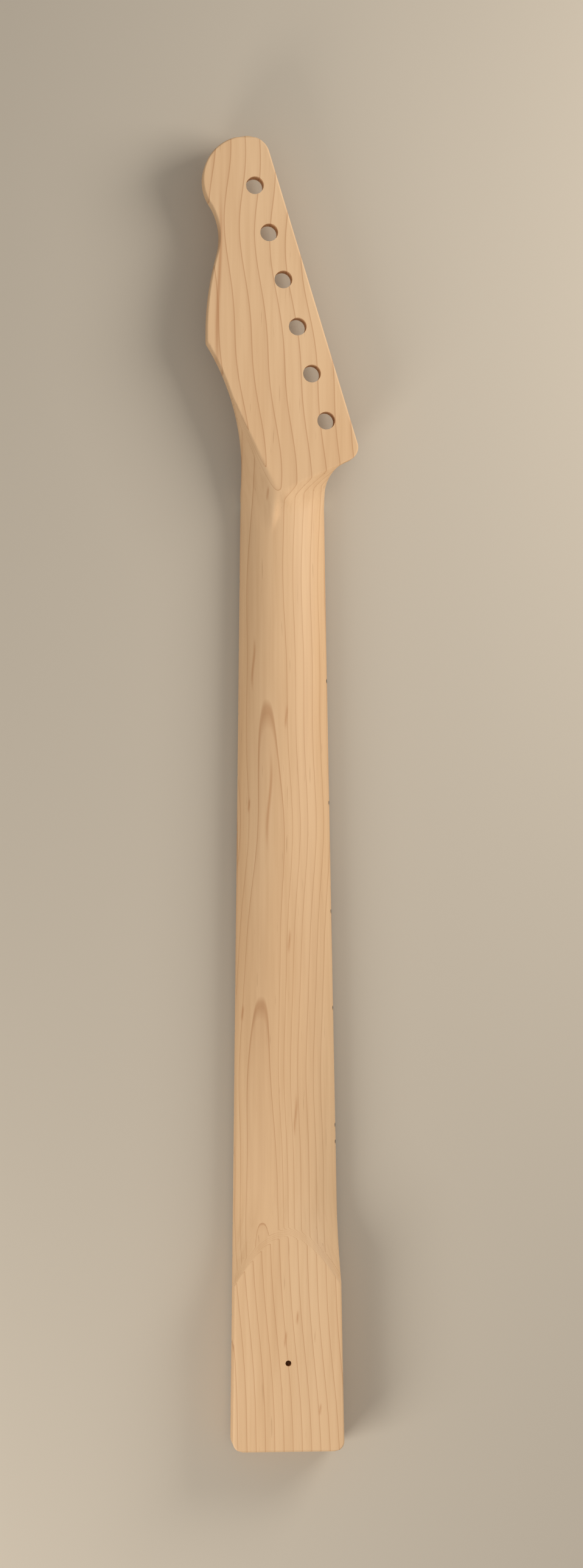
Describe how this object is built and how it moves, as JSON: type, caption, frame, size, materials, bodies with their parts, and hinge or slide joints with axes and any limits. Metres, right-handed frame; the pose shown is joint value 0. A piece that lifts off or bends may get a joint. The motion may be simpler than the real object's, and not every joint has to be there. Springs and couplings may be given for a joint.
{
  "type": "guitar neck",
  "caption": "Bolt-on electric guitar neck in unfinished maple with frets, nut, dots, bowed truss rod and an in-line headstock drilled for tuners.",
  "frame": {"origin": "middle of the outline, on the surface that the nut and frets rest on", "axes": "+Y along the neck from the heel to the headstock, +Z out of the neck's back, +X towards the bass side"},
  "size_m": [0.077, 0.6566, 0.0274],
  "materials": {
    "neck_maple": "bare sanded maple, no lacquer",
    "board_maple": "bare sanded maple, no lacquer",
    "fret_metal": "polished nickel silver",
    "nut_bone": "satin bone",
    "inlay_black": "sanded black plastic",
    "rod_steel": "plain steel",
    "nut_brass": "turned brass"
  },
  "bodies": {
    "neck_body": {"neck": "neck_maple", "fretboard": "board_maple", "nut": "nut_bone", "fret_01": "fret_metal", "fret_02": "fret_metal", "fret_03": "fret_metal", "fret_04": "fret_metal", "fret_05": "fret_metal", "fret_06": "fret_metal", "fret_07": "fret_metal", "fret_08": "fret_metal", "fret_09": "fret_metal", "fret_10": "fret_metal", "fret_11": "fret_metal", "fret_12": "fret_metal", "fret_13": "fret_metal", "fret_14": "fret_metal", "fret_15": "fret_metal", "fret_16": "fret_metal", "fret_17": "fret_metal", "fret_18": "fret_metal", "fret_19": "fret_metal", "fret_20": "fret_metal", "fret_21": "fret_metal", "face_dot_03": "inlay_black", "face_dot_05": "inlay_black", "face_dot_07": "inlay_black", "face_dot_09": "inlay_black", "face_dot_15": "inlay_black", "face_dot_17": "inlay_black", "face_dot_19": "inlay_black", "face_dot_21": "inlay_black", "face_dot_12_treble": "inlay_black", "face_dot_12_bass": "inlay_black", "side_dot_03": "inlay_black", "side_dot_05": "inlay_black", "side_dot_07": "inlay_black", "side_dot_09": "inlay_black", "side_dot_15": "inlay_black", "side_dot_17": "inlay_black", "side_dot_19": "inlay_black", "side_dot_21": "inlay_black", "side_dot_12_a": "inlay_black", "side_dot_12_b": "inlay_black", "truss_rod": "rod_steel", "truss_anchor": "rod_steel", "truss_washer": "rod_steel", "truss_fillet": "neck_maple"},
    "truss_nut_body": {"truss_nut": "nut_brass"}
  },
  "joints": [
    {"name": "truss_nut_turn", "type": "hinge", "parent": "neck_body", "child": "truss_nut_body", "pos_m": [0.00175, -0.32122, 0.01458], "axis": [0, 1, 0], "range_deg": [-180, 360]}
  ]
}
